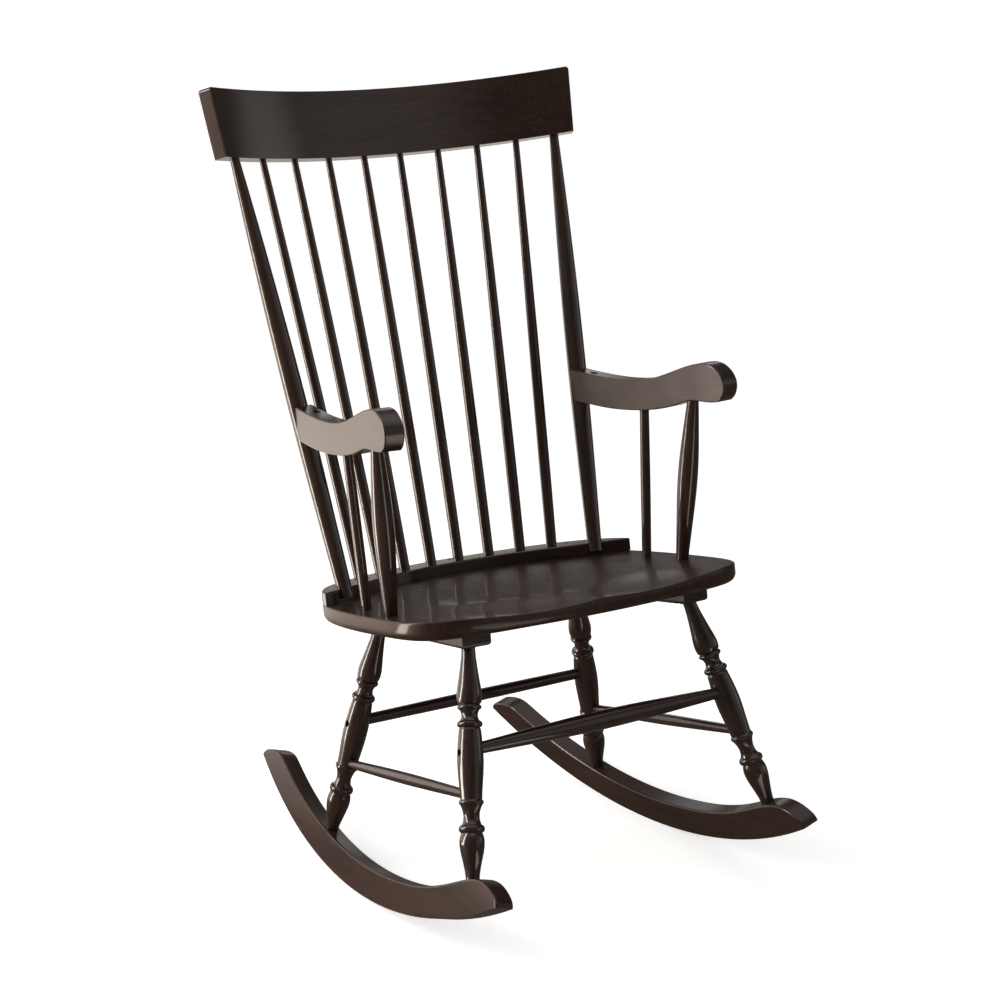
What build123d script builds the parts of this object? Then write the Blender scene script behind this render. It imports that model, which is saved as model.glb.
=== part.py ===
from build123d import *
import math
import os

# High-back rocking chair in turned wood. Millimetres, +Z up, the sitter faces -Y.
# The chair is modelled as it stands at rest: rockers on the floor, seat tipped back.
# X = 0 is midway between the legs, Y = 0 the point where the rockers touch the floor.
# At the end everything is moved so that the bottom centre of the whole chair is the origin.

# ---- attitude ----
SEAT_TILT = 10.0          # the seat falls towards the back by this many degrees
SEAT_HEIGHT = 409.5       # height of the seat's upper plane above Y = 0
CREST_TILT = 19.5         # lean of the crest board from the vertical

# ---- rockers: boards that lean inwards at the top and close in towards the back ----
ROCKER_RADIUS = 735.0
ROCKER_DEPTH = 42.3
ROCKER_THICK = 28.0
ROCKER_FACE_X = 271.3     # outer face of the right rocker, at Y = 0 and Z = 0
ROCKER_LEAN = 0.2668      # sideways per unit of height
ROCKER_TOE = 0.0754       # sideways per unit of length
ROCKER_LOW = 2.0          # height of the outer lower edge over the floor plane
ROCKER_TOE_END = -398.0
ROCKER_TAIL_END = 339.0
ROCKER_ROUND = 3.0

# ---- seat ----
SEAT_THICK = 27.0
SEAT_HALF_BACK = 266.0
SEAT_HALF_FRONT = 278.5
SEAT_OFF_CENTRE = 5.0     # the seat and its rail sit a little to the right of the legs
SEAT_CORNER_Y = -160.0
SEAT_FRONT_Y = -252.5
SEAT_UNDER_ROUND = 12.0
SEAT_TOP_ROUND = 2.0
BOWL_DEPTH = 7.0
BOWL_REACH = 172.0
THIGH_DEPTH = 7.5
THIGH_REACH = 125.0
SEAT_COS = math.cos(math.radians(SEAT_TILT))   # level length per length along the seat

# ---- raised rail round the back of the seat ----
RAIL_CENTRE_Y = -222.5
RAIL_SPINDLE_RADIUS = 382.5
RAIL_FRONT_RADIUS = 360.0
RAIL_BACK_RADIUS = 415.0
RAIL_SCREW_RADIUS = 400.0
RAIL_HEIGHT = 19.0
RAIL_FALL = 1.4           # the top of the rail falls a little more than the seat, degrees
RAIL_FALL_Y = 66.0        # where the rail has its full height
RAIL_SCREW_ANGLES = (2.9, 29.5, -29.5)
RAIL_HOLE_RADIUS = 5.4
RAIL_SCREW_SUNK = 4.0
RAIL_ROUND = 2.5

# ---- cleats under the seat, one along each side over the legs ----
CLEAT_WIDTH = 44.0
CLEAT_THICK = 18.0
CLEAT_ROUND = 5.0
CLEAT_FRONT_Y = -213.0
CLEAT_BACK_Y = 104.0
CLEAT_INSET = 3.0         # the cleat's middle lies this much inside the line of the leg tops
POCKET_ANGLE = math.radians(32)
POCKET_FROM_END = 16.0    # pocket screws from the cleat's ends
POCKET_FROM_SIDE = 8.0    # and from its inner side

# ---- legs: top on the cleat, foot on the rocker (right-hand side) ----
FRONT_LEG_TOP = (186.0, -201.0, 398.5)
FRONT_LEG_FOOT = (249.5, -311.0, 119.0)
BACK_LEG_TOP = (170.0, 61.0, 353.0)
BACK_LEG_FOOT = (238.3, 94.0, 44.5)
LEG_UPPER = 184.0         # vase and barrel, made longer or shorter to fit each leg
LEG_LOWER = 122.0         # lower rings and teardrop foot, the same on all the legs
LEG_TENON = 15.0
LEG_END_RADIUS = 9.4

# ---- stretchers ----
FRONT_STRETCHER_Z = 272.5
BACK_STRETCHER_Z = 210.0
SIDE_STRETCHER_FRONT_Z = 217.5
SIDE_STRETCHER_BACK_Z = 146.0
STRETCHER_INSET = 8.0     # from a leg's axis to the end of a stretcher's swelled part
FRONT_STRETCHER_RADII = (7.75, 13.5, 7.75)   # at one end, in the middle, at the other end
BACK_STRETCHER_RADII = (8.0, 9.0, 8.0)
SIDE_STRETCHER_RADII = (6.5, 8.5, 6.5)

# ---- arms and the turned pieces below them (right-hand side) ----
ARM_THICK = 29.0
ARM_ROUND = 2.0
ARM_NOSE_X = 291.9        # outer face at the nose
ARM_NOSE_Y = -166.7
ARM_YAW = 7.2             # the arms open towards the front, degrees
ARM_POST_FOOT = (247.6, -102.5, 427.6)
ARM_POST_TOP = (264.6, -98.5, 664.0)
ARM_POST_RADII = (9.25, 14.75, 8.4)
ARM_SPINDLE_FOOT = (241.0, -24.4, 413.8)
ARM_SPINDLE_TOP = (252.6, 3.4, 634.0)
ARM_SPINDLE_RADII = (7.0, 7.5, 7.0)
ARM_END_GAP = 6.0         # the arm's back end lies this far in front of the post's axis
ARM_SCREW_HEAD = (239.0, 119.0, 664.5)

# ---- back ----
BACK_POST_FOOT = (218.4, 79.5)
BACK_POST_TOP_X = 273.8
BACK_POST_RADIUS = 14.4
SPINDLE_FOOT_X = (24.0, 74.0, 122.5, 168.0)
SPINDLE_TOP_X = (31.0, 94.5, 157.5, 218.0)
SPINDLE_SOCKET = 14.0

# ---- crest board ----
CREST_RADIUS = 665.0
CREST_THICK = 22.0
CREST_HEIGHT = 100.5
CREST_FRONT_Y = 322.2     # front face in the middle, at the lower edge
CREST_Z = 992.8
CREST_HALF_LOW = 296.8
CREST_HALF_HIGH = 306.0
CREST_SPINDLE_IN = 11.0   # spindle line behind the front face
CREST_CORNER_ROUND = 5.0
CREST_EDGE_ROUND = 1.5

# ---- fasteners ----
HEAD_RADIUS = 4.2
HEAD_THICK = 3.0
SHANK_RADIUS = 2.0
COUNTERBORE_RADIUS = 4.6
RECESS_LENGTH = 5.4
RECESS_WIDTH = 1.2
RECESS_DEPTH = 1.2
BOLT_LENGTH = 30.0
BOLT_HEAD_OUT = 11.0      # from the leg's axis to the bolt's head
RAIL_SCREW_LENGTH = 30.0
POCKET_SCREW_LENGTH = 26.0
ARM_SCREW_LENGTH = 34.0
HOLE_LENGTH = 14.0        # holes over the heads, measured outwards from the head
POCKET_LENGTH = 30.0

seat_plane = Plane(
    origin=(0, 0, SEAT_HEIGHT),
    x_dir=(1, 0, 0),
    z_dir=(0, math.sin(math.radians(SEAT_TILT)), math.cos(math.radians(SEAT_TILT))),
)


def seat_point(x, y, lift=0.0):
    """Point over the seat: y is measured level, lift is square to the seat's upper plane."""
    return seat_plane.from_local_coords(Vector(x, y / SEAT_COS, lift))


def on_line(start, end, z):
    """Point at height z on the line from start to end."""
    near = Vector(*start)
    far = Vector(*end)
    return near + (far - near) * ((z - near.Z) / (far.Z - near.Z))


def shortened(start, end, inset):
    """The line from start to end with the same length taken off at both of its ends."""
    near = Vector(*start)
    far = Vector(*end)
    way = (far - near).normalized()
    return near + way * inset, far - way * inset


def mirrored(part):
    return part.mirror(Plane.YZ)


def turned(start, end, outline):
    """Body turned about the line start-end; outline lists pieces of curve in (radius, distance)."""
    near = Vector(*start)
    far = Vector(*end)
    with BuildPart() as body:
        with BuildSketch(Plane.XZ):
            with BuildLine():
                first = outline[0][1][0]
                last = outline[-1][1][-1]
                Line((0, first[1]), first)
                for kind, points in outline:
                    if kind == "curve":
                        Spline(*points)
                    elif kind == "arc":
                        ThreePointArc(*points)
                    else:
                        Polyline(*points)
                Line(last, (0, last[1]))
                Line((0, last[1]), (0, first[1]))
            make_face()
        revolve(axis=Axis.Z)
    return Plane(origin=near, z_dir=far - near).location * body.part


def swelled(start, end, radii, middle=0.5, tenon=12.0):
    """Round rod that swells between its two ends, with plain ends that go into sockets."""
    end_radius, middle_radius, far_radius = radii
    length = (Vector(*end) - Vector(*start)).length
    outline = [
        ("line", [(end_radius, -tenon), (end_radius, 0)]),
        ("curve", [
            (end_radius, 0),
            ((end_radius + 2.2 * middle_radius) / 3.2, length * middle * 0.55),
            (middle_radius, length * middle),
            ((far_radius + 2.2 * middle_radius) / 3.2, length * (1 - (1 - middle) * 0.55)),
            (far_radius, length),
        ]),
        ("line", [(far_radius, length), (far_radius, length + tenon)]),
    ]
    return turned(start, end, outline)


def rocker_right():
    """Curved board under the right-hand legs, with a raised toe and a rounded tail."""
    out = Vector(1, ROCKER_TOE, ROCKER_LEAN).normalized()
    along = Vector(-ROCKER_TOE, 1, 0).normalized()
    face = Plane(origin=(ROCKER_FACE_X, 0, 0), x_dir=along, z_dir=out)
    centre = ROCKER_RADIUS + ROCKER_LOW
    inner = ROCKER_RADIUS - ROCKER_DEPTH

    toe = ROCKER_TOE_END
    tail = ROCKER_TAIL_END

    def low(distance):
        return centre - math.sqrt(ROCKER_RADIUS ** 2 - distance ** 2)

    def high(distance):
        return centre - math.sqrt(inner ** 2 - distance ** 2)

    with BuildPart() as body:
        with BuildSketch(face):
            with BuildLine():
                ThreePointArc((toe, low(toe)), (0, ROCKER_LOW), (tail, low(tail)))
                Spline((tail, low(tail)), (325, 96), (297, 102.8), (266, high(266)),
                       tangents=[(-0.35, 1), (-0.92, -0.39)])
                ThreePointArc((266, high(266)), (50, high(50)), (-160, high(-160)))
                Spline((-160, high(-160)), (-252, 95), (-315, 127), (-352, 138), (-385, 131.5),
                       (toe, low(toe)), tangents=[(-0.973, 0.23), (-0.3, -1)])
            make_face()
        extrude(amount=-ROCKER_THICK)
    solid = body.part

    def on_upper_side(edge):
        place = face.to_local_coords(edge @ 0.5)
        return edge.length > 60 and place.Y > low(place.X) + 10

    return solid.fillet(ROCKER_ROUND, [edge for edge in solid.edges() if on_upper_side(edge)])


def leg_right(top, foot):
    """Turned leg: vase, two rings, long barrel, two rings, teardrop foot."""
    length = (Vector(*foot) - Vector(*top)).length
    stretch = (length - LEG_LOWER) / LEG_UPPER

    def upper(distance):
        return distance * stretch

    low = upper(LEG_UPPER)
    outline = [
        ("line", [(LEG_END_RADIUS, -LEG_TENON), (LEG_END_RADIUS, 0)]),
        ("curve", [(LEG_END_RADIUS, 0), (12.0, upper(28)), (15.4, upper(50)), (17.2, upper(68)),
                   (16.0, upper(75))]),
        ("line", [(16.0, upper(75)), (13.4, upper(77))]),
        ("arc", [(13.4, upper(77)), (16.4, upper(80.5)), (13.6, upper(84))]),
        ("arc", [(13.6, upper(84)), (11.2, upper(91)), (13.6, upper(98.5))]),
        ("arc", [(13.6, upper(98.5)), (17.3, upper(103)), (13.8, upper(107.5))]),
        ("line", [(13.8, upper(107.5)), (15.0, upper(110))]),
        ("curve", [(15.0, upper(110)), (17.2, upper(134)), (17.8, upper(156)), (16.6, upper(176)),
                   (14.8, low + 19)]),
        ("arc", [(14.8, low + 19), (16.8, low + 22.5), (14.8, low + 26)]),
        ("curve", [(14.8, low + 26), (11.6, low + 35), (10.9, low + 43), (13.6, low + 52)]),
        ("arc", [(13.6, low + 52), (17.6, low + 57.5), (14.2, low + 63)]),
        ("curve", [(14.2, low + 63), (16.9, low + 74), (15.6, low + 88), (12.2, low + 104),
                   (LEG_END_RADIUS, length)]),
        ("line", [(LEG_END_RADIUS, length), (LEG_END_RADIUS, length + LEG_TENON)]),
    ]
    return turned(top, foot, outline)


def seat_outline():
    """The seat's outline in its own plane, one smooth closed curve that starts at the back."""
    def arc_y(x):
        return RAIL_CENTRE_Y + math.sqrt(RAIL_BACK_RADIUS ** 2 - x ** 2)

    side = [
        (120, arc_y(120)),
        (222, arc_y(222)),
        (SEAT_HALF_BACK - 14, 92),
        (SEAT_HALF_BACK, 50),
        (SEAT_HALF_FRONT - 3, -15),
        (SEAT_HALF_FRONT, -90),
        (SEAT_HALF_FRONT - 5, SEAT_CORNER_Y),
        (SEAT_HALF_FRONT - 23, -200),
        (SEAT_HALF_FRONT - 50, -219),
        (185, -233),
        (100, -247),
    ]
    right = [(SEAT_OFF_CENTRE + x, y / SEAT_COS) for x, y in side]
    left = [(SEAT_OFF_CENTRE - x, y / SEAT_COS) for x, y in reversed(side)]
    back = (SEAT_OFF_CENTRE, arc_y(0) / SEAT_COS)
    front = (SEAT_OFF_CENTRE, SEAT_FRONT_Y / SEAT_COS)
    return Spline(back, *right, front, *left, periodic=True)


def seat_board():
    """Saddle seat: crisp upper edge, full round below, bowl and two thigh hollows on top."""
    with BuildPart() as body:
        with BuildSketch():
            add(seat_outline())
            make_face()
        extrude(amount=-SEAT_THICK)
        fillet(body.faces().sort_by(Axis.Z)[0].edges(), SEAT_UNDER_ROUND)
        fillet(body.faces().sort_by(Axis.Z)[-1].edges(), SEAT_TOP_ROUND)
        for x, y, depth, reach in ((0, -55, BOWL_DEPTH, BOWL_REACH),
                                   (-86, -232, THIGH_DEPTH, THIGH_REACH),
                                   (86, -232, THIGH_DEPTH, THIGH_REACH)):
            radius = (reach ** 2 + depth ** 2) / (2 * depth)
            with Locations((x, y, radius - depth)):
                Sphere(radius, mode=Mode.SUBTRACT)
    return seat_plane.location * body.part


def rail_top_plane():
    """The rail's top in the seat's own coordinates."""
    fall = math.radians(RAIL_FALL)
    return Plane(origin=(0, RAIL_FALL_Y, RAIL_HEIGHT), z_dir=(0, math.sin(fall), math.cos(fall)))


def rail_point(x, y):
    """Point on the rail's top, with x and y measured level."""
    middle = seat_plane.from_local_coords(Vector(0, RAIL_FALL_Y, RAIL_HEIGHT))
    slope = math.tan(math.radians(SEAT_TILT + RAIL_FALL))
    return Vector(x, y, middle.Z - slope * (y - middle.Y))


def rail_board():
    """Raised rail on the back of the seat, hollowed along its front face."""
    front = [(0, RAIL_CENTRE_Y + RAIL_FRONT_RADIUS), (90, 126), (165, 97.5), (215, 76), (290, 50)]
    right = [(x, y / SEAT_COS) for x, y in front]
    left = [(-x, y / SEAT_COS) for x, y in reversed(front)]
    with BuildPart() as body:
        with BuildSketch():
            add(seat_outline())
            make_face()
            with BuildLine():
                curve = Spline(*left, *right[1:])
                Polyline(curve @ 1, (320, -400), (-320, -400), curve @ 0)
            make_face(mode=Mode.SUBTRACT)
        extrude(amount=RAIL_HEIGHT + 4)
        with BuildSketch(rail_top_plane()):
            Rectangle(900, 900)
        extrude(amount=60, mode=Mode.SUBTRACT)
    return body.part


def finished_rail():
    rail = rail_board()
    tops = rail.faces().sort_by(Axis.Z)[-1].edges()
    return seat_plane.location * rail.fillet(RAIL_ROUND, tops)


def cleat_slope():
    return (FRONT_LEG_TOP[0] - BACK_LEG_TOP[0]) / (FRONT_LEG_TOP[1] - BACK_LEG_TOP[1])


def cleat_middle_x(y):
    return FRONT_LEG_TOP[0] + cleat_slope() * (y - FRONT_LEG_TOP[1]) - CLEAT_INSET


def cleat_right():
    """Board screwed under the side of the seat; the legs stand in it."""
    y = (CLEAT_FRONT_Y + CLEAT_BACK_Y) / 2
    turn = -math.degrees(math.atan(cleat_slope() * SEAT_COS))
    place = Location((cleat_middle_x(y), y / SEAT_COS, -SEAT_THICK - CLEAT_THICK / 2), (0, 0, turn))
    with BuildPart() as body:
        with Locations(place):
            Box(CLEAT_WIDTH, (CLEAT_BACK_Y - CLEAT_FRONT_Y) / SEAT_COS, CLEAT_THICK)
        fillet(body.faces().sort_by(Axis.Z)[0].edges(), CLEAT_ROUND)
    return seat_plane.location * body.part


def arm_plane_right():
    yaw = math.radians(ARM_YAW)
    return Plane(origin=(ARM_NOSE_X, ARM_NOSE_Y, 0),
                 x_dir=(-math.sin(yaw), math.cos(yaw), 0),
                 z_dir=(math.cos(yaw), math.sin(yaw), 0))


def arm_right():
    """Thick board cut to an S in side view: dips behind the hand, rises to a rolled nose."""
    def at(y, z):
        return ((y - ARM_NOSE_Y) / math.cos(math.radians(ARM_YAW)), z)

    with BuildPart() as body:
        with BuildSketch(arm_plane_right()):
            with BuildLine():
                Spline(at(172, 669), at(103, 669), at(42.5, 672.5), at(-12, 682.6), at(-66.5, 704.2),
                       at(-96, 716.5), at(-123, 723.6))
                Spline(at(-123, 723.6), at(-150, 718.5), at(-166, 700), at(-163, 680), at(-156, 672.5),
                       tangents=[(-1, 0.12), (0.7, -0.6)])
                Spline(at(-156, 672.5), at(-128, 667.5), at(-98.5, 664), at(-70.5, 653), at(-35.5, 641),
                       at(9.5, 631.2), at(64, 624.1), at(112.5, 622.3), at(172, 622.5))
                Line(at(172, 622.5), at(172, 669))
            make_face()
        extrude(amount=-ARM_THICK)
    solid = body.part
    return solid.fillet(ARM_ROUND, [edge for edge in solid.edges() if edge.length > 60])


def back_post_line():
    return rail_point(*BACK_POST_FOOT), crest_point(BACK_POST_TOP_X, 0, CREST_SPINDLE_IN - 1)


def back_post_right():
    """Stout tapered post at the end of the row of spindles."""
    start, end = back_post_line()
    length = (end - start).length
    outline = [
        ("line", [(11.0, -SPINDLE_SOCKET), (11.0, 0)]),
        ("curve", [(11.0, 0), (13.2, length * 0.2), (BACK_POST_RADIUS, length * 0.42),
                   (13.7, length * 0.58), (12.1, length * 0.72), (9.8, length * 0.86), (6.7, length)]),
        ("line", [(6.7, length), (6.7, length + SPINDLE_SOCKET)]),
    ]
    return turned(tuple(start), tuple(end), outline)


def crest_point(x, lift=0.0, depth=0.0):
    """Point on the crest: lift is up the board, depth is behind its front face."""
    tilt = math.radians(CREST_TILT)
    up = Vector(0, math.sin(tilt), math.cos(tilt))
    back = Vector(0, math.cos(tilt), -math.sin(tilt))
    sagitta = CREST_RADIUS - math.sqrt((CREST_RADIUS + depth) ** 2 - x ** 2)
    middle = Vector(0, CREST_FRONT_Y, CREST_Z)
    return middle + Vector(x, 0, 0) - back * sagitta + up * lift


def spindle_right(i):
    """Slender back spindle, thickest low down."""
    x = SPINDLE_FOOT_X[i]
    y = RAIL_CENTRE_Y + math.sqrt(RAIL_SPINDLE_RADIUS ** 2 - x ** 2)
    start = rail_point(x, y)
    end = crest_point(SPINDLE_TOP_X[i], 0, CREST_SPINDLE_IN)
    length = (end - start).length
    outline = [
        ("line", [(8.1, -SPINDLE_SOCKET), (8.1, 0)]),
        ("curve", [(8.1, 0), (8.5, length * 0.18), (8.1, length * 0.42), (6.9, length * 0.7),
                   (4.9, length)]),
        ("line", [(4.9, length), (4.9, length + SPINDLE_SOCKET)]),
    ]
    return turned(tuple(start), tuple(end), outline)


def crest_board():
    """Bent board across the top, concave to the sitter, its ends cut wider at the top."""
    tilt = math.radians(CREST_TILT)
    up = Vector(0, math.sin(tilt), math.cos(tilt))
    base = Plane(origin=(0, CREST_FRONT_Y, CREST_Z), x_dir=(1, 0, 0), z_dir=up)
    outer = CREST_RADIUS + CREST_THICK
    wide = math.asin(CREST_HALF_HIGH / CREST_RADIUS) + 0.03
    low_angle = math.asin(CREST_HALF_LOW / CREST_RADIUS)
    slant = math.atan((CREST_HALF_HIGH - CREST_HALF_LOW) / CREST_HEIGHT / math.cos(low_angle))

    def at(radius, angle):
        return (radius * math.sin(angle), radius * math.cos(angle) - CREST_RADIUS)

    with BuildPart() as body:
        with BuildSketch(base):
            with BuildLine():
                ThreePointArc(at(CREST_RADIUS, -wide), (0, 0), at(CREST_RADIUS, wide))
                Line(at(CREST_RADIUS, wide), at(outer, wide))
                ThreePointArc(at(outer, wide), (0, CREST_THICK), at(outer, -wide))
                Line(at(outer, -wide), at(CREST_RADIUS, -wide))
            make_face()
        extrude(amount=CREST_HEIGHT)
    solid = body.part
    for side in (-1, 1):
        angle = side * low_angle
        corner = base.from_local_coords(Vector(*at(CREST_RADIUS, angle), 0))
        radial = base.from_local_coords(Vector(*at(outer, angle), 0)) - corner
        along = base.from_local_coords(Vector(*at(CREST_RADIUS, angle + side * 0.001), 0)) - corner
        along = along.normalized()
        square = along * math.cos(slant) - up * math.sin(slant)
        waste = Box(300, 400, 90, align=(Align.CENTER, Align.CENTER, Align.MIN))
        solid = solid - Plane(origin=corner, x_dir=radial, z_dir=square).location * waste

    def height(edge):
        return base.to_local_coords(edge @ 0.5).Z

    upper = [edge for edge in solid.edges() if height(edge) > CREST_HEIGHT - 1]
    solid = solid.fillet(CREST_CORNER_ROUND, [edge for edge in upper if edge.length < 30])
    upper = [edge for edge in solid.edges() if height(edge) > CREST_HEIGHT - 1]
    return solid.fillet(CREST_EDGE_ROUND, [edge for edge in upper if edge.length > 300])


def screw(head, way, length):
    """Screw laid along way, its head cut with a cross and its outer face centred on head."""
    with BuildPart() as body:
        Cylinder(HEAD_RADIUS, HEAD_THICK, align=(Align.CENTER, Align.CENTER, Align.MIN))
        with Locations((0, 0, HEAD_THICK)):
            Cylinder(SHANK_RADIUS, length, align=(Align.CENTER, Align.CENTER, Align.MIN))
        Box(RECESS_WIDTH, RECESS_LENGTH, 2 * RECESS_DEPTH, mode=Mode.SUBTRACT)
        Box(RECESS_LENGTH, RECESS_WIDTH, 2 * RECESS_DEPTH, mode=Mode.SUBTRACT)
    return Plane(origin=head, z_dir=way).location * body.part


def counterbore(head, way, depth, radius=COUNTERBORE_RADIUS):
    """Hole from the outside down to the underside of the screw's head."""
    hole = Cylinder(radius, depth + HEAD_THICK, align=(Align.CENTER, Align.CENTER, Align.MIN))
    return Plane(origin=head + way * HEAD_THICK, z_dir=-way).location * hole


def cross_stretcher(leg_top, leg_foot, z, radii):
    """Round rail from leg to leg across the chair; its ends stop at the legs' axes."""
    axis = on_line(leg_top, leg_foot, z)
    start, stop = shortened((-axis.X, axis.Y, z), (axis.X, axis.Y, z), STRETCHER_INSET)
    return swelled(start, stop, radii, tenon=STRETCHER_INSET)


def side_stretcher_right():
    """Thinner rail from the back leg up to the front leg."""
    start = on_line(BACK_LEG_TOP, BACK_LEG_FOOT, SIDE_STRETCHER_BACK_Z)
    stop = on_line(FRONT_LEG_TOP, FRONT_LEG_FOOT, SIDE_STRETCHER_FRONT_Z)
    start, stop = shortened(start, stop, STRETCHER_INSET)
    return swelled(start, stop, SIDE_STRETCHER_RADII, tenon=STRETCHER_INSET)


def bolt_right(leg_top, leg_foot, z):
    """Head and direction of the bolt through a leg into the end of a cross stretcher."""
    axis = on_line(leg_top, leg_foot, z)
    return axis + Vector(BOLT_HEAD_OUT, 0, 0), Vector(-1, 0, 0)


def rail_screw_places():
    """Three screws behind the spindles, square to the rail's top."""
    fall = math.radians(SEAT_TILT + RAIL_FALL)
    way = Vector(0, -math.sin(fall), -math.cos(fall))
    places = []
    for degrees in RAIL_SCREW_ANGLES:
        angle = math.radians(degrees)
        x = RAIL_SCREW_RADIUS * math.sin(angle)
        y = RAIL_CENTRE_Y + RAIL_SCREW_RADIUS * math.cos(angle)
        places.append((rail_point(x, y) + way * RAIL_SCREW_SUNK, way))
    return places


def cleat_screw_places_right():
    """Pocket screws from the cleat's inner side up into the seat, one near each end."""
    tilt = math.radians(SEAT_TILT)
    up = Vector(0, math.sin(tilt), math.cos(tilt))
    way = (up * math.cos(POCKET_ANGLE) + Vector(math.sin(POCKET_ANGLE), 0, 0)).normalized()
    places = []
    for y in (CLEAT_FRONT_Y + POCKET_FROM_END, CLEAT_BACK_Y - POCKET_FROM_END):
        x = cleat_middle_x(y) - CLEAT_WIDTH / 2 + POCKET_FROM_SIDE
        places.append((seat_point(x, y, -SEAT_THICK - CLEAT_THICK / 2), way))
    return places


def arm_screw_right():
    """Slanting screw from the top of the arm into the back post."""
    head = Vector(ARM_SCREW_HEAD)
    return head, Vector(0.05, 0.8, -0.6).normalized()


def build():
    """All the pieces by name, cut so that each socket fits the piece that stands in it."""
    nodes = {}
    pieces = {
        "rocker": rocker_right(),
        "cleat": cleat_right(),
        "leg_front": leg_right(FRONT_LEG_TOP, FRONT_LEG_FOOT),
        "leg_back": leg_right(BACK_LEG_TOP, BACK_LEG_FOOT),
        "stretcher": side_stretcher_right(),
        "arm": arm_right(),
        "arm_post": swelled(ARM_POST_FOOT, ARM_POST_TOP, ARM_POST_RADII, middle=0.55),
        "arm_spindle": swelled(ARM_SPINDLE_FOOT, ARM_SPINDLE_TOP, ARM_SPINDLE_RADII),
        "back_post": back_post_right(),
    }
    spindles = [spindle_right(i) for i in range(4)]
    front_rail = cross_stretcher(FRONT_LEG_TOP, FRONT_LEG_FOOT, FRONT_STRETCHER_Z, FRONT_STRETCHER_RADII)
    back_rail = cross_stretcher(BACK_LEG_TOP, BACK_LEG_FOOT, BACK_STRETCHER_Z, BACK_STRETCHER_RADII)

    # fasteners of the right-hand side, and the holes over their heads
    bolts = []
    bolt_holes = []
    for top, foot, z in ((FRONT_LEG_TOP, FRONT_LEG_FOOT, FRONT_STRETCHER_Z),
                         (BACK_LEG_TOP, BACK_LEG_FOOT, BACK_STRETCHER_Z)):
        head, way = bolt_right(top, foot, z)
        bolts.append(screw(head, way, BOLT_LENGTH))
        bolt_holes.append(counterbore(head, way, HOLE_LENGTH))
    pockets = cleat_screw_places_right()
    pocket_screws = [screw(head, way, POCKET_SCREW_LENGTH) for head, way in pockets]
    pocket_holes = [counterbore(head, way, POCKET_LENGTH) for head, way in pockets]
    head, way = arm_screw_right()
    arm_screw = screw(head, way, ARM_SCREW_LENGTH)
    arm_hole = counterbore(head, way, HOLE_LENGTH)
    rail_places = rail_screw_places()
    rail_screws = [screw(head, way, RAIL_SCREW_LENGTH) for head, way in rail_places]
    rail_holes = [counterbore(head, way, HOLE_LENGTH, RAIL_HOLE_RADIUS) for head, way in rail_places]

    # the arm ends on a plane along the back post, a little in front of the post's axis
    foot, head = back_post_line()
    post_way = (head - foot).normalized()
    behind = Vector(0, 1, 0) - post_way * post_way.Y
    cut = Plane(origin=foot - behind.normalized() * ARM_END_GAP, x_dir=post_way, z_dir=behind)
    waste = cut.location * Box(1400, 200, 100, align=(Align.CENTER, Align.CENTER, Align.MIN))
    arm = pieces["arm"] - waste - pieces["back_post"] - pieces["arm_post"] - pieces["arm_spindle"]

    legs = [pieces["leg_front"], pieces["leg_back"]]
    right = {
        "rocker": pieces["rocker"] - legs,
        "cleat": pieces["cleat"] - legs - pocket_screws - pocket_holes,
        "leg_front": pieces["leg_front"] - pieces["stretcher"] - front_rail - bolts - bolt_holes,
        "leg_back": pieces["leg_back"] - pieces["stretcher"] - back_rail - bolts - bolt_holes,
        "stretcher": pieces["stretcher"],
        "arm": arm - arm_screw - arm_hole,
        "arm_post": pieces["arm_post"],
        "arm_spindle": pieces["arm_spindle"],
        "back_post": pieces["back_post"] - arm_screw,
    }
    for name, solid in right.items():
        nodes[name + "_right"] = solid
        nodes[name + "_left"] = mirrored(solid)

    both_bolts = bolts + [mirrored(bolt) for bolt in bolts]
    both_pockets = pocket_screws + [mirrored(piece) for piece in pocket_screws]
    standing = []
    for name in ("arm_post", "arm_spindle"):
        standing += [pieces[name], mirrored(pieces[name])]
    nodes["seat"] = seat_board() - standing - both_pockets - rail_screws
    nodes["stretcher_front"] = front_rail - both_bolts
    nodes["stretcher_back"] = back_rail - both_bolts

    uprights = [pieces["back_post"], mirrored(pieces["back_post"])]
    for i, spindle in enumerate(spindles):
        nodes["spindle_left_" + str(i + 1)] = mirrored(spindle)
        nodes["spindle_right_" + str(i + 1)] = spindle
        uprights += [spindle, mirrored(spindle)]
    nodes["back_rail"] = finished_rail() - uprights - rail_screws - rail_holes
    nodes["crest_rail"] = crest_board() - uprights

    nodes["stretcher_bolts"] = Compound(both_bolts)
    nodes["cleat_screws"] = Compound(both_pockets)
    nodes["arm_screws"] = Compound([arm_screw, mirrored(arm_screw)])
    nodes["rail_screws"] = Compound(rail_screws)
    return nodes


nodes = build()
whole = Compound(list(nodes.values()))
box = whole.bounding_box()
shift = Location((0, -(box.min.Y + box.max.Y) / 2, -box.min.Z))
os.makedirs("parts", exist_ok=True)
for name, solid in nodes.items():
    export_step(solid.moved(shift), "parts/" + name + ".step")
print("size", round(box.size.X, 1), round(box.size.Y, 1), round(box.size.Z, 1))
print("moved by", round(shift.position.Y, 2), round(shift.position.Z, 2))
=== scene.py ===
import math

import bpy
import numpy as np
from mathutils import Matrix, Vector
from mathutils.bvhtree import BVHTree


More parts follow.
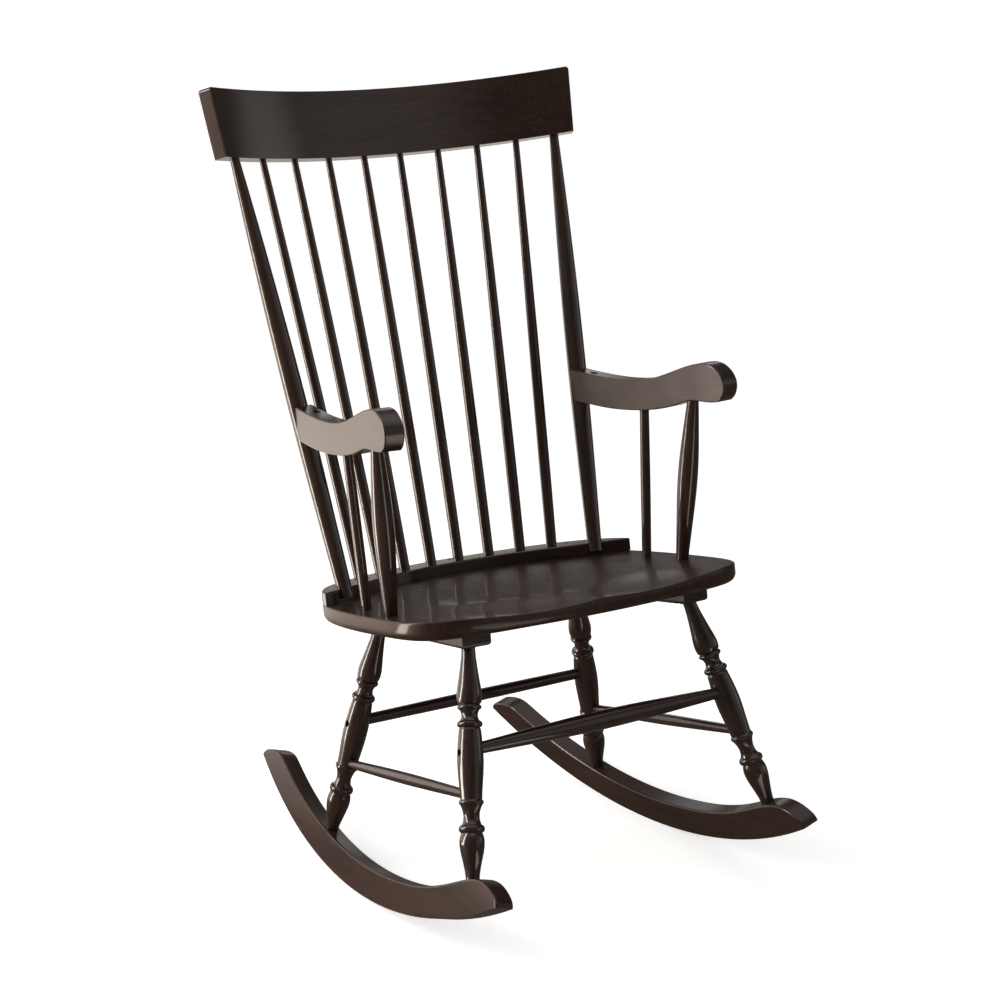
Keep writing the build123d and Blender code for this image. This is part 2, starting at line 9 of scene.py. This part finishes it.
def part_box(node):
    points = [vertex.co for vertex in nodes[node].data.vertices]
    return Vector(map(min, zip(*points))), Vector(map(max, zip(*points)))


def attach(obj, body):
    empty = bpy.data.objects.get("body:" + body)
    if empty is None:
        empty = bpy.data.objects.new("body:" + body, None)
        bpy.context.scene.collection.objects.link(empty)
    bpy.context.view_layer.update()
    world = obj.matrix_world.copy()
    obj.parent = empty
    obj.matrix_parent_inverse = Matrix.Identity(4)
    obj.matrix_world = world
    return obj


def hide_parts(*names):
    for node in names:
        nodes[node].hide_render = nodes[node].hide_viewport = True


# Looks of the rocking chair: dark brown stained hardwood under a gloss lacquer, on a pale floor.
# Metres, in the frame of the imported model. Only the seat is rebuilt, with one smooth saddle surface.
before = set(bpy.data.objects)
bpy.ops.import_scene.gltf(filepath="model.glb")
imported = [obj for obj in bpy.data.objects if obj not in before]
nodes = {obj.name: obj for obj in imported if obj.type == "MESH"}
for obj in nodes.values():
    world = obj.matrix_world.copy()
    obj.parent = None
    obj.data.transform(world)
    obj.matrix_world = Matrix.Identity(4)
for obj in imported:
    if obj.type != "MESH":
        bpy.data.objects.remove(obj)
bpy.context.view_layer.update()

# ---- seat ----
SEAT_TILT = math.radians(10.0)
SEAT_THICK = 0.027
SEAT_TOP_ROUND = 0.0025
SEAT_UNDER_ROUND = 0.012
SEAT_POINTS = 360         # round each ring
SEAT_RINGS = 46           # from the middle of the top to its edge
TOP_ROUND_STEPS = 4
UNDER_ROUND_STEPS = 8
UNDER_SHARES = (0.8, 0.5, 0.2)
# hollows in the top: x, y along the seat, depth, reach
SEAT_HOLLOWS = (
    (0.0, -0.055, 0.0075, 0.185),
    (-0.086, -0.232, 0.0078, 0.137),
    (0.086, -0.232, 0.0078, 0.137),
)
HOLLOW_RUN_OUT = 1.6      # how softly a hollow ends
HOLLOW_JOIN = 3           # how closely the surface follows the deepest hollow where two meet
# the front corners are drawn out: share of their distance, and where that starts and is full
CORNER_WIDER = 0.022
CORNER_FROM_Y = (0.08, 0.21)
CORNER_LONGER = 0.022
CORNER_FROM_X = (0.10, 0.24)
CONTACT_Y = 0.01246       # where the rockers touch the floor
PROBE_OUT = 0.6           # the outline is felt for from this far out
PROBE_DOWN = 0.008        # and this far below the top

# ---- smooth shading: the sharpest angle that is shaded smooth, in degrees ----
PIECE_SMOOTH = 32.0
SEAT_SMOOTH = 60.0

# ---- wood ----
GROUND_DARK = (0.0130, 0.0065, 0.0045)
GROUND_LIGHT = (0.0310, 0.0145, 0.0092)
GROUND_RANGE = (0.32, 0.68)
# marks: stretch along the grain and twice across it, detail, roughness, distortion
FIGURE = ((3.0, 26.0, 26.0), 4.0, 0.55, 1.2)
STREAKS = ((9.0, 240.0, 240.0), 5.0, 0.62, 0.4)
PORES = ((70.0, 1500.0, 1500.0), 2.0, 0.5, 0.0)
CLOUD = ((7.0, 7.0, 7.0), 3.0, 0.5, 0.0)
RIPPLE = ((55.0, 120.0, 120.0), 2.0, 0.4, 0.0)
# tints: where the mark starts and is full, how much it covers, colour
STREAK_TINT = (0.42, 0.70, 0.50, (0.058, 0.0285, 0.0180))
PORE_TINT = (0.60, 0.72, 0.65, (0.0050, 0.0036, 0.0032))
CLOUD_TINT = (0.30, 0.75, 0.30, (0.040, 0.0185, 0.0115))
STAVE_TINT = (0.0, 1.0, 0.25, (0.046, 0.022, 0.014))
STAVE_WIDTH = 0.074
EDGE_RANGE = (0.995, 0.86)           # likeness of the rounded and the plain normal
RUBBED_REACH = 0.0022
RUBBED_COVER = (0.42, 0.62, 0.10, 0.55)
RUBBED_COLOUR = (0.100, 0.052, 0.033)
# painted shade: ambient occlusion darkens the wood in the corners where pieces meet
PAINTED_SHADE_REACH = 0.007
PAINTED_SHADE_RANGE = (0.85, 0.35)            # openness of the place
PAINTED_SHADE_COVER = 0.75
PAINTED_SHADE_COLOUR = (0.0030, 0.0022, 0.0020)
# roughness under the lacquer: from and to of the mark, then from and to of what it gives
STREAK_ROUGH = (0.35, 0.75, 0.36, 0.48)
PORE_ROUGH = (0.6, 0.72, 0.0, 0.14)
CLOUD_ROUGH = (0.3, 0.7, -0.04, 0.05)
WOOD_SPECULAR = 0.15
SOFT_EDGE = 0.0011
GRAIN_RELIEF = (0.30, 0.00028)       # strength, depth
GRAIN_PORES = 0.8
LACQUER_RELIEF = (0.10, 0.00022)
LACQUER_STREAKS = 0.35
SHADE_SAMPLES = 4
# each piece has its own figure: the step from one piece to the next
FIGURE_STEP = (0.37, 0.61, 0.23)
SEAT_FIGURE = (0.4, 1.7, 0.9)
UPRIGHT = 0.9                        # rise from which a grain direction counts as upright

# ---- lacquer: first letters of the piece's name, weight, roughness ----
LACQUER_IOR = 1.52
GLOSSY = (1.0, 0.04)
LACQUER = (
    ("seat", 0.34, 0.09),
    ("arm_post", *GLOSSY),
    ("arm_spindle", *GLOSSY),
    ("arm", 0.9, 0.20),
    ("rocker", 0.52, 0.15),
    ("crest", 1.0, 0.12),
    ("cleat", 0.6, 0.16),
)

# ---- steel ----
STEEL_DARK = (0.045, 0.041, 0.038)
STEEL_LIGHT = (0.11, 0.10, 0.092)
STEEL_SPOTS = (260.0, 3.0, 0.5)      # scale, detail, roughness
STEEL_SPOT_RANGE = (0.35, 0.7)
STEEL_MARKS = (1400.0, 4.0, 0.6)
STEEL_ROUGH = (0.3, 0.7, 0.30, 0.52)
STEEL_WORN = (0.34, 0.32, 0.30)
STEEL_WORN_REACH = 0.0005
STEEL_WORN_COVER = 0.7
STEEL_RELIEF = (0.25, 0.0001)

# ---- studio: brightness beside white paper's 1 ----
STRIP = 16.0
STRIP_WAY = (-0.883, 0.469, 0.0)
STRIP_EDGE = (0.990, 0.997)
STRIP_TOP = (0.75, 0.65)             # rise of the view at the strip's upper end
# what the lacquer sees of the floor: direction, cosines where it starts and is full, brightness,
# distances where it starts and is full, and distances where it fades with what is left of it
FLOOR_SPOTS = (
    ((-0.40, 0.92, 0.0), 0.86, 0.975, 1.6, (0.5, 1.5), (3.2, 7.0, 1.0, 0.3)),
    ((-0.75, 0.66, 0.0), 0.3, 0.95, 0.18, (0.4, 1.3), None),
    (STRIP_WAY, *STRIP_EDGE, STRIP, (0.9, 1.5), None),
    ((0.15, -0.99, 0.0), 0.988, 0.998, 2.5, (0.45, 0.8), None),
    ((0.53, 0.85, 0.0), 0.70, 0.95, 0.85, (1.0, 2.5), (4.8, 8.5, 1.0, 0.06)),
)
FLOOR_GLOW = (3.0, 9.0, 0.11, 0.05)  # distances, brightness there
FLOOR_GLOW_COLOUR = (1.0, 0.90, 0.79, 1.0)
FLOOR_LIFT = 0.62
FLOOR_RADIUS = 40.0
FLOOR_CORNERS = 96
FLOOR_DARK = (0.91, 0.91, 0.91)
FLOOR_LIGHT = (0.93, 0.93, 0.93)
FLOOR_PATCHES = (2.0, 3.0, 0.5)
FLOOR_ROUGH = (0.3, 0.7, 0.62, 0.70)
FLOOR_SPECULAR = 0.1
# what the lacquer sees of the surroundings: direction, cosines where it starts and is full, brightness
WORLD_SPOTS = (
    ((-0.42, 0.90, 0.06), 0.80, 0.975, 1.35),
    ((0.50, 0.82, 0.36), 0.970, 0.995, 1.1),
    ((0.905, -0.389, 0.186), 0.968, 0.999, 0.95),
    ((0.526, -0.793, 0.309), 0.82, 0.995, 0.33),
    ((0.0, 0.0, 1.0), 0.70, 0.95, 0.9),
    ((-0.90, 0.30, 0.30), 0.40, 0.95, 0.10),
)
WORLD_DARK = 0.07
WORLD_COLOUR = (1.0, 0.985, 0.965, 1.0)
AMBIENT = 0.7
AMBIENT_WAY = (-0.80, 0.50, 0.33)
# area lights: name, place, width, height, brightness, colour
LIGHTS = (
    ("left_wall", (-2.3, 1.1, 1.1), 1.9, 2.1, 5.4, (1.0, 0.94, 0.86)),
    ("overhead", (-0.3, 0.2, 2.9), 2.2, 2.2, 0.38, (1.0, 0.985, 0.96)),
)
LIGHTS_AIM = (0.0, 0.0, 0.5)

# ---- camera ----
CAMERA_PLACE = (-1.8427, -2.8180, 1.4428)
CAMERA_AZIMUTH = math.radians(-33.0)
CAMERA_DOWN = math.radians(15.032)
CAMERA_LENS = 87.6
CAMERA_SENSOR = 36.0
CAMERA_FAR = 100.0


def link(tree, source, target):
    tree.links.new(source, target)


def empty_material(name):
    """Material without nodes, and its node tree."""
    material = bpy.data.materials.new(name)
    material.use_nodes = True
    material.node_tree.nodes.clear()
    return material, material.node_tree


def surface(tree, shader):
    """Makes the shader the material's surface."""
    output = tree.nodes.new("ShaderNodeOutputMaterial")
    link(tree, shader.outputs["BSDF"], output.inputs["Surface"])


def math_node(tree, operation, first, second=0.0):
    node = tree.nodes.new("ShaderNodeMath")
    node.operation = operation
    for socket, value in zip(node.inputs, (first, second)):
        if isinstance(value, (int, float)):
            socket.default_value = value
        else:
            link(tree, value, socket)
    return node.outputs[0]


def product(tree, first, second):
    return math_node(tree, "MULTIPLY", first, second)


def summed(tree, values):
    total = values[0]
    for value in values[1:]:
        total = math_node(tree, "ADD", total, value)
    return total


def vector_node(tree, operation, first, second=None):
    """Vector maths node; second is a vector, a socket or nothing."""
    node = tree.nodes.new("ShaderNodeVectorMath")
    node.operation = operation
    link(tree, first, node.inputs[0])
    if isinstance(second, (tuple, Vector)):
        node.inputs[1].default_value = second
    elif second is not None:
        link(tree, second, node.inputs[1])
    return node


def ranged(tree, value, low, high, to_low=0.0, to_high=1.0):
    """value taken from the range low-high to the range to_low-to_high, with no overshoot."""
    node = tree.nodes.new("ShaderNodeMapRange")
    node.inputs["From Min"].default_value = low
    node.inputs["From Max"].default_value = high
    node.inputs["To Min"].default_value = to_low
    node.inputs["To Max"].default_value = to_high
    link(tree, value, node.inputs["Value"])
    return node.outputs["Result"]


def lobe(tree, vector, direction, low, high, strength):
    """Soft spot round a direction; low and high are cosines where it starts and where it is full."""
    facing = vector_node(tree, "DOT_PRODUCT", vector, Vector(direction).normalized())
    spot = ranged(tree, facing.outputs["Value"], low, high, 0.0, strength)
    spot.node.interpolation_type = "SMOOTHSTEP"
    return spot


def mixed(tree, factor, first, second):
    """Colour mix; first and second are colours or sockets."""
    node = tree.nodes.new("ShaderNodeMix")
    node.data_type = "RGBA"
    for socket, value in ((node.inputs[0], factor), (node.inputs[6], first), (node.inputs[7], second)):
        if isinstance(value, (int, float)):
            socket.default_value = value
        elif isinstance(value, tuple):
            socket.default_value = (*value, 1.0)
        else:
            link(tree, value, socket)
    return node.outputs[2]


def tinted(tree, colour, mark, tint):
    """colour covered with a tint where the mark is."""
    low, high, cover, tint_colour = tint
    return mixed(tree, ranged(tree, mark, low, high, 0.0, cover), colour, tint_colour)


def noise(tree, vector, scale, detail, rough, distortion=0.0):
    node = tree.nodes.new("ShaderNodeTexNoise")
    node.inputs["Scale"].default_value = scale
    node.inputs["Detail"].default_value = detail
    node.inputs["Roughness"].default_value = rough
    node.inputs["Distortion"].default_value = distortion
    link(tree, vector, node.inputs["Vector"])
    return node.outputs["Fac"]


def wood_mark(tree, vector, mark):
    """Noise drawn out along the grain."""
    stretch, detail, rough, distortion = mark
    place = tree.nodes.new("ShaderNodeMapping")
    place.inputs["Scale"].default_value = stretch
    link(tree, vector, place.inputs["Vector"])
    return noise(tree, place.outputs["Vector"], 1.0, detail, rough, distortion)


def relief(tree, height, strength_and_depth, normal=None):
    """Normal with small bumps of the given height."""
    bump = tree.nodes.new("ShaderNodeBump")
    strength, depth = strength_and_depth
    bump.inputs["Strength"].default_value = strength
    bump.inputs["Distance"].default_value = depth
    link(tree, height, bump.inputs["Height"])
    if normal is not None:
        link(tree, normal, bump.inputs["Normal"])
    return bump.outputs["Normal"]


def rounded_normal(tree, radius):
    """Normal as if the edges were rounded."""
    rounded = tree.nodes.new("ShaderNodeBevel")
    rounded.samples = SHADE_SAMPLES
    rounded.inputs["Radius"].default_value = radius
    return rounded.outputs["Normal"]


def edge_factor(tree, radius):
    """1 on the convex and concave edges, 0 on flat and gently curved surfaces."""
    plain_normal = tree.nodes.new("ShaderNodeNewGeometry").outputs["Normal"]
    likeness = vector_node(tree, "DOT_PRODUCT", rounded_normal(tree, radius), plain_normal)
    return ranged(tree, likeness.outputs["Value"], *EDGE_RANGE)


def painted_joint_shade(tree):
    """1 in the corners where two pieces meet, found by ambient occlusion: there the wood is darkened
    with painted shade.
    """
    shade = tree.nodes.new("ShaderNodeAmbientOcclusion")
    shade.samples = SHADE_SAMPLES
    shade.inputs["Distance"].default_value = PAINTED_SHADE_REACH
    return ranged(tree, shade.outputs["AO"], *PAINTED_SHADE_RANGE)


def grain_vector(tree, axis, offset):
    """Object coordinates turned so that X runs along the grain, and moved by offset."""
    side = axis.cross(Vector((0, 0, 1)) if abs(axis.z) < UPRIGHT else Vector((1, 0, 0))).normalized()
    up = axis.cross(side).normalized()
    coordinates = tree.nodes.new("ShaderNodeTexCoord")
    place = tree.nodes.new("ShaderNodeMapping")
    place.inputs["Rotation"].default_value = Matrix((axis, side, up)).to_euler()
    place.inputs["Location"].default_value = offset
    link(tree, coordinates.outputs["Object"], place.inputs["Vector"])
    return place.outputs["Vector"]


def stave_tone(tree):
    """One value for each of the boards that are glued side by side into the seat."""
    coordinates = tree.nodes.new("ShaderNodeTexCoord")
    parts = tree.nodes.new("ShaderNodeSeparateXYZ")
    link(tree, coordinates.outputs["Object"], parts.inputs[0])
    number = math_node(tree, "FLOOR", math_node(tree, "DIVIDE", parts.outputs["X"], STAVE_WIDTH))
    tone = tree.nodes.new("ShaderNodeTexWhiteNoise")
    tone.noise_dimensions = "1D"
    link(tree, number, tone.inputs["W"])
    return tone.outputs["Value"]


def lacquer(name):
    """Weight and roughness of the lacquer: glossy on turned pieces, satin on arms, worn on the seat."""
    for part, weight, rough in LACQUER:
        if name.startswith(part):
            return weight, rough
    return GLOSSY


def wood_colour(tree, figure, streaks, pores, cloud, staves):
    """Stained ground with its marks, rubbed lighter on the edges, darkened with painted shade in the
    corners.
    """
    wood = mixed(tree, ranged(tree, figure, *GROUND_RANGE), GROUND_DARK, GROUND_LIGHT)
    wood = tinted(tree, wood, streaks, STREAK_TINT)
    wood = tinted(tree, wood, pores, PORE_TINT)
    wood = tinted(tree, wood, cloud, CLOUD_TINT)
    if staves:
        wood = tinted(tree, wood, stave_tone(tree), STAVE_TINT)
    rubbed = product(tree, edge_factor(tree, RUBBED_REACH), ranged(tree, cloud, *RUBBED_COVER))
    wood = mixed(tree, rubbed, wood, RUBBED_COLOUR)
    # painted shade: the corners where pieces meet are darkened by ambient occlusion
    return mixed(tree, product(tree, painted_joint_shade(tree), PAINTED_SHADE_COVER), wood, PAINTED_SHADE_COLOUR)


def stained_wood(name, axis, offset, staves=False):
    """Hardwood under dark stain and gloss lacquer: figure, pores, worn edges, painted shade in the
    corners.
    """
    material, tree = empty_material("wood_" + name)
    vector = grain_vector(tree, axis, offset)
    figure, streaks, pores, cloud, ripple = (
        wood_mark(tree, vector, mark) for mark in (FIGURE, STREAKS, PORES, CLOUD, RIPPLE)
    )
    rough = summed(tree, [
        ranged(tree, streaks, *STREAK_ROUGH),
        ranged(tree, pores, *PORE_ROUGH),
        ranged(tree, cloud, *CLOUD_ROUGH),
    ])
    soft_edges = rounded_normal(tree, SOFT_EDGE)
    grain = math_node(tree, "SUBTRACT", streaks, product(tree, pores, GRAIN_PORES))
    waves = math_node(tree, "ADD", ripple, product(tree, streaks, LACQUER_STREAKS))

    shader = tree.nodes.new("ShaderNodeBsdfPrincipled")
    coat_weight, coat_rough = lacquer(name)
    shader.inputs["Coat Weight"].default_value = coat_weight
    shader.inputs["Coat Roughness"].default_value = coat_rough
    shader.inputs["Coat IOR"].default_value = LACQUER_IOR
    shader.inputs["Specular IOR Level"].default_value = WOOD_SPECULAR
    colour = wood_colour(tree, figure, streaks, pores, cloud, staves)
    link(tree, colour, shader.inputs["Base Color"])
    link(tree, rough, shader.inputs["Roughness"])
    link(tree, relief(tree, grain, GRAIN_RELIEF, soft_edges), shader.inputs["Normal"])
    link(tree, relief(tree, waves, LACQUER_RELIEF, soft_edges), shader.inputs["Coat Normal"])
    surface(tree, shader)
    return material


def blackened_steel():
    """Blackened screw heads with turning marks, worn bright on the rims."""
    material, tree = empty_material("blackened_steel")
    place = tree.nodes.new("ShaderNodeTexCoord").outputs["Object"]
    marks = noise(tree, place, *STEEL_MARKS)
    spots = noise(tree, place, *STEEL_SPOTS)
    colour = mixed(tree, ranged(tree, spots, *STEEL_SPOT_RANGE), STEEL_DARK, STEEL_LIGHT)
    worn = product(tree, edge_factor(tree, STEEL_WORN_REACH), STEEL_WORN_COVER)
    shader = tree.nodes.new("ShaderNodeBsdfPrincipled")
    shader.inputs["Metallic"].default_value = 1.0
    link(tree, mixed(tree, worn, colour, STEEL_WORN), shader.inputs["Base Color"])
    link(tree, ranged(tree, marks, *STEEL_ROUGH), shader.inputs["Roughness"])
    link(tree, relief(tree, marks, STEEL_RELIEF), shader.inputs["Normal"])
    surface(tree, shader)
    return material


def long_axis(obj):
    """Direction in which the piece is longest; the grain follows it."""
    places = np.array([vertex.co for vertex in obj.data.vertices])
    places = places - places.mean(axis=0)
    vectors = np.linalg.eigh(places.T @ places)[1]
    return Vector(vectors[:, 2]).normalized()


def smooth(obj, degrees):
    """Shades the gentle curves smooth and keeps the crisp corners."""
    for polygon in obj.data.polygons:
        polygon.use_smooth = True
    obj.data.set_sharp_from_angle(angle=math.radians(degrees))


def dress_pieces():
    """Steel on the fasteners, wood on everything else, with its grain along the piece."""
    steel = blackened_steel()
    for number, (name, obj) in enumerate(sorted(nodes.items())):
        smooth(obj, PIECE_SMOOTH)
        obj.data.materials.clear()
        if name.endswith(("screws", "bolts")):
            obj.data.materials.append(steel)
            continue
        offset = [step * number for step in FIGURE_STEP]
        obj.data.materials.append(stained_wood(name, long_axis(obj), offset))


def seat_axes():
    """The seat's own directions: across, along towards the back, and up from its top."""
    across = Vector((1, 0, 0))
    along = Vector((0, math.cos(SEAT_TILT), -math.sin(SEAT_TILT)))
    up = Vector((0, math.sin(SEAT_TILT), math.cos(SEAT_TILT)))
    return across, along, up


def seat_centre():
    """The middle of the CAD seat, moved up to the plane of its top."""
    up = seat_axes()[2]
    lift = max(vertex.co.dot(up) for vertex in nodes["seat"].data.vertices)
    low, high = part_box("seat")
    middle = (low + high) / 2
    return middle + up * (lift - middle.dot(up))


def eased(value, low, high):
    """0 below low, 1 above high, smooth between them."""
    share = min(max((value - low) / (high - low), 0.0), 1.0)
    return share * share * (3 - 2 * share)


def squared(x, y):
    """Draws the outline's two front corners out, towards the square."""
    wider = 1 + CORNER_WIDER * eased(-y, *CORNER_FROM_Y)
    longer = 1 + CORNER_LONGER * eased(abs(x), *CORNER_FROM_X) * (y < 0)
    return Vector((x * wider, y * longer))


def seat_outline(centre):
    """The outline of the CAD seat, found a little below its upper edge, as points round the centre."""
    across, along, up = seat_axes()
    mesh = nodes["seat"].data
    tree = BVHTree.FromPolygons([v.co for v in mesh.vertices], [p.vertices for p in mesh.polygons])
    points = []
    for i in range(SEAT_POINTS):
        angle = 2 * math.pi * i / SEAT_POINTS
        way = across * math.cos(angle) + along * math.sin(angle)
        start = centre + way * PROBE_OUT - up * PROBE_DOWN
        hit = tree.ray_cast(start, -way)[0] - centre
        points.append(squared(hit.dot(across), hit.dot(along)))
    return points


def outline_normals(points):
    """Outward directions at the points of the outline."""
    normals = []
    for i in range(len(points)):
        step = points[(i + 1) % len(points)] - points[i - 1]
        normals.append(Vector((step.y, -step.x)).normalized())
    return normals


def hollow_depth(x, y):
    """Depth of the saddle, smooth where its hollows run into each other."""
    total = 0.0
    for centre_x, centre_y, depth, reach in SEAT_HOLLOWS:
        share = ((x - centre_x) ** 2 + (y - centre_y) ** 2) / reach ** 2
        if share < 1:
            total += (depth * (1 - share) ** HOLLOW_RUN_OUT) ** HOLLOW_JOIN
    return total ** (1 / HOLLOW_JOIN)


def hollow_shift(centre):
    """From the seat's middle, along it, to the place over the rockers' contact with the floor."""
    along, up = seat_axes()[1:]
    contact = Vector((0, CONTACT_Y, (centre.dot(up) - CONTACT_Y * up.y) / up.z))
    return (contact - centre).dot(along)


def seat_rings(outline, saddle):
    """Rings in the seat's own directions: out over the top, round the rim, and in below."""
    normals = outline_normals(outline)

    def inset(amount):
        return [point - normal * amount for point, normal in zip(outline, normals)]

    rings = []
    for k in range(1, SEAT_RINGS + 1):
        share = math.sin(math.pi / 2 * k / SEAT_RINGS)
        places = [place * share for place in inset(SEAT_TOP_ROUND)]
        rings.append([(place.x, place.y, saddle(place.x, place.y)) for place in places])
    rims = [saddle(point.x, point.y) for point in outline]
    for k in range(1, TOP_ROUND_STEPS + 1):
        turn = math.pi / 2 * k / TOP_ROUND_STEPS
        places = inset(SEAT_TOP_ROUND * (1 - math.sin(turn)))
        drop = SEAT_TOP_ROUND * (1 - math.cos(turn))
        rings.append([(place.x, place.y, rim - drop) for place, rim in zip(places, rims)])
    for k in range(UNDER_ROUND_STEPS + 1):
        turn = math.pi / 2 * k / UNDER_ROUND_STEPS
        places = inset(SEAT_UNDER_ROUND * (1 - math.cos(turn)))
        height = SEAT_UNDER_ROUND * (1 - math.sin(turn)) - SEAT_THICK
        rings.append([(place.x, place.y, height) for place in places])
    for share in UNDER_SHARES:
        places = [place * share for place in inset(SEAT_UNDER_ROUND)]
        rings.append([(place.x, place.y, -SEAT_THICK) for place in places])
    return rings


def ring_faces(count):
    """Faces between the rings, closed by one point above and one below that follow the rings' points."""
    top = count * SEAT_POINTS
    bottom = top + 1
    last = top - SEAT_POINTS
    steps = [(i, (i + 1) % SEAT_POINTS) for i in range(SEAT_POINTS)]
    faces = []
    for inner in range(0, last, SEAT_POINTS):
        outer = inner + SEAT_POINTS
        for i, after in steps:
            faces.append((inner + i, outer + i, outer + after, inner + after))
    for i, after in steps:
        faces.append((top, i, after))
        faces.append((bottom, last + after, last + i))
    return faces


def build_seat():
    """Saddle seat as rings from the middle of the top, over the edge, to the middle below."""
    across, along, up = seat_axes()
    centre = seat_centre()
    shift = hollow_shift(centre)

    def saddle(x, y):
        return -hollow_depth(x + centre.x, y - shift)

    rings = seat_rings(seat_outline(centre), saddle)
    points = [point for ring in rings for point in ring]
    points += [(0, 0, saddle(0, 0)), (0, 0, -SEAT_THICK)]
    verts = [tuple(centre + across * x + along * y + up * z) for x, y, z in points]
    mesh = bpy.data.meshes.new("seat_saddle")
    mesh.from_pydata(verts, [], ring_faces(len(rings)))
    mesh.update()
    seat = bpy.data.objects.new("seat_saddle", mesh)
    bpy.context.scene.collection.objects.link(seat)
    smooth(seat, SEAT_SMOOTH)
    seat.data.materials.append(stained_wood("seat_saddle", along, SEAT_FIGURE, staves=True))
    return seat


def floor_glow(tree, place):
    """What the lacquer sees of the floor: hot behind to the left, a soft patch in front to the right."""
    away = vector_node(tree, "LENGTH", place).outputs["Value"]
    way = vector_node(tree, "NORMALIZE", place).outputs["Vector"]
    spots = []
    for direction, low, high, strength, start, fade in FLOOR_SPOTS:
        spot = product(tree, lobe(tree, way, direction, low, high, strength), ranged(tree, away, *start))
        if fade:
            spot = product(tree, spot, ranged(tree, away, *fade))
        spots.append(spot)
    return summed(tree, [*spots, ranged(tree, away, *FLOOR_GLOW)])


def studio_floor():
    """Wide pale floor. The camera sees it lifted to white, and the lacquer sees its bright spots."""
    bpy.ops.mesh.primitive_circle_add(vertices=FLOOR_CORNERS, radius=FLOOR_RADIUS, fill_type="NGON")
    floor = bpy.context.object
    floor.name = "floor"
    material = bpy.data.materials.new("pale_floor")
    material.use_nodes = True
    tree = material.node_tree
    shader = tree.nodes["Principled BSDF"]
    place = tree.nodes.new("ShaderNodeTexCoord").outputs["Object"]
    patches = noise(tree, place, *FLOOR_PATCHES)
    link(tree, mixed(tree, patches, FLOOR_DARK, FLOOR_LIGHT), shader.inputs["Base Color"])
    link(tree, ranged(tree, patches, *FLOOR_ROUGH), shader.inputs["Roughness"])
    shader.inputs["Specular IOR Level"].default_value = FLOOR_SPECULAR
    lift = tree.nodes.new("ShaderNodeEmission")
    lift.inputs["Strength"].default_value = FLOOR_LIFT
    lifted = tree.nodes.new("ShaderNodeAddShader")
    link(tree, shader.outputs["BSDF"], lifted.inputs[0])
    link(tree, lift.outputs["Emission"], lifted.inputs[1])
    card = tree.nodes.new("ShaderNodeEmission")
    card.inputs["Color"].default_value = FLOOR_GLOW_COLOUR
    link(tree, floor_glow(tree, place), card.inputs["Strength"])
    ray = tree.nodes.new("ShaderNodeLightPath")
    seen = shader.outputs["BSDF"]
    for kind, other in (("Is Camera Ray", lifted.outputs[0]), ("Is Glossy Ray", card.outputs[0])):
        choice = tree.nodes.new("ShaderNodeMixShader")
        link(tree, ray.outputs[kind], choice.inputs[0])
        link(tree, seen, choice.inputs[1])
        link(tree, other, choice.inputs[2])
        seen = choice.outputs["Shader"]
    link(tree, seen, tree.nodes["Material Output"].inputs["Surface"])
    floor.data.materials.append(material)


def tall_strip(tree, way):
    """Narrow upright light behind to the left, which draws the bright lines down the turned pieces."""
    upright = vector_node(tree, "MULTIPLY", way, (1.0, 1.0, 0.0)).outputs["Vector"]
    flat = vector_node(tree, "NORMALIZE", upright).outputs["Vector"]
    strip = lobe(tree, flat, STRIP_WAY, *STRIP_EDGE, STRIP)
    height = tree.nodes.new("ShaderNodeSeparateXYZ")
    link(tree, way, height.inputs[0])
    return product(tree, strip, ranged(tree, height.outputs["Z"], *STRIP_TOP))


def studio_world():
    """White to the camera; to the lacquer, dark with bright spots; and a soft light from the left."""
    world = bpy.data.worlds.new("studio")
    bpy.context.scene.world = world
    world.use_nodes = True
    tree = world.node_tree
    background = tree.nodes["Background"]
    way = tree.nodes.new("ShaderNodeTexCoord").outputs["Generated"]
    spots = [lobe(tree, way, *spot) for spot in WORLD_SPOTS]
    gloss = math_node(tree, "ADD", summed(tree, [*spots, tall_strip(tree, way)]), WORLD_DARK)
    ambient = lobe(tree, way, AMBIENT_WAY, -1.0, 1.0, AMBIENT)
    ray = tree.nodes.new("ShaderNodeLightPath")
    choice = tree.nodes.new("ShaderNodeMix")
    link(tree, ray.outputs["Is Glossy Ray"], choice.inputs["Factor"])
    link(tree, ambient, choice.inputs["A"])
    link(tree, gloss, choice.inputs["B"])
    seen = math_node(tree, "MAXIMUM", choice.outputs["Result"], ray.outputs["Is Camera Ray"])
    background.inputs["Color"].default_value = WORLD_COLOUR
    link(tree, seen, background.inputs["Strength"])


def studio_lights():
    """Area lights turned towards the chair, which the camera and the lacquer don't see."""
    for name, place, width, height, radiance, colour in LIGHTS:
        light = bpy.data.lights.new(name, "AREA")
        light.shape = "RECTANGLE"
        light.size = width
        light.size_y = height
        light.energy = radiance * math.pi * width * height
        light.color = colour
        lamp = bpy.data.objects.new(name, light)
        lamp.location = place
        lamp.rotation_euler = (Vector(LIGHTS_AIM) - Vector(place)).to_track_quat("-Z", "Y").to_euler()
        lamp.visible_camera = False
        lamp.visible_glossy = False
        bpy.context.scene.collection.objects.link(lamp)


def studio_camera():
    data = bpy.data.cameras.new("camera")
    data.lens = CAMERA_LENS
    data.sensor_width = CAMERA_SENSOR
    data.clip_end = CAMERA_FAR
    camera = bpy.data.objects.new("camera", data)
    camera.location = CAMERA_PLACE
    camera.rotation_euler = (math.pi / 2 - CAMERA_DOWN, 0.0, CAMERA_AZIMUTH)
    bpy.context.scene.collection.objects.link(camera)
    bpy.context.scene.camera = camera


for name in ("Cube", "Light", "Camera"):
    spare = bpy.data.objects.get(name)
    if spare:
        bpy.data.objects.remove(spare)
bpy.context.scene.view_settings.view_transform = "Standard"
dress_pieces()
saddle_seat = build_seat()
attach(saddle_seat, "root")
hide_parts("seat")
studio_floor()
studio_world()
studio_lights()
studio_camera()
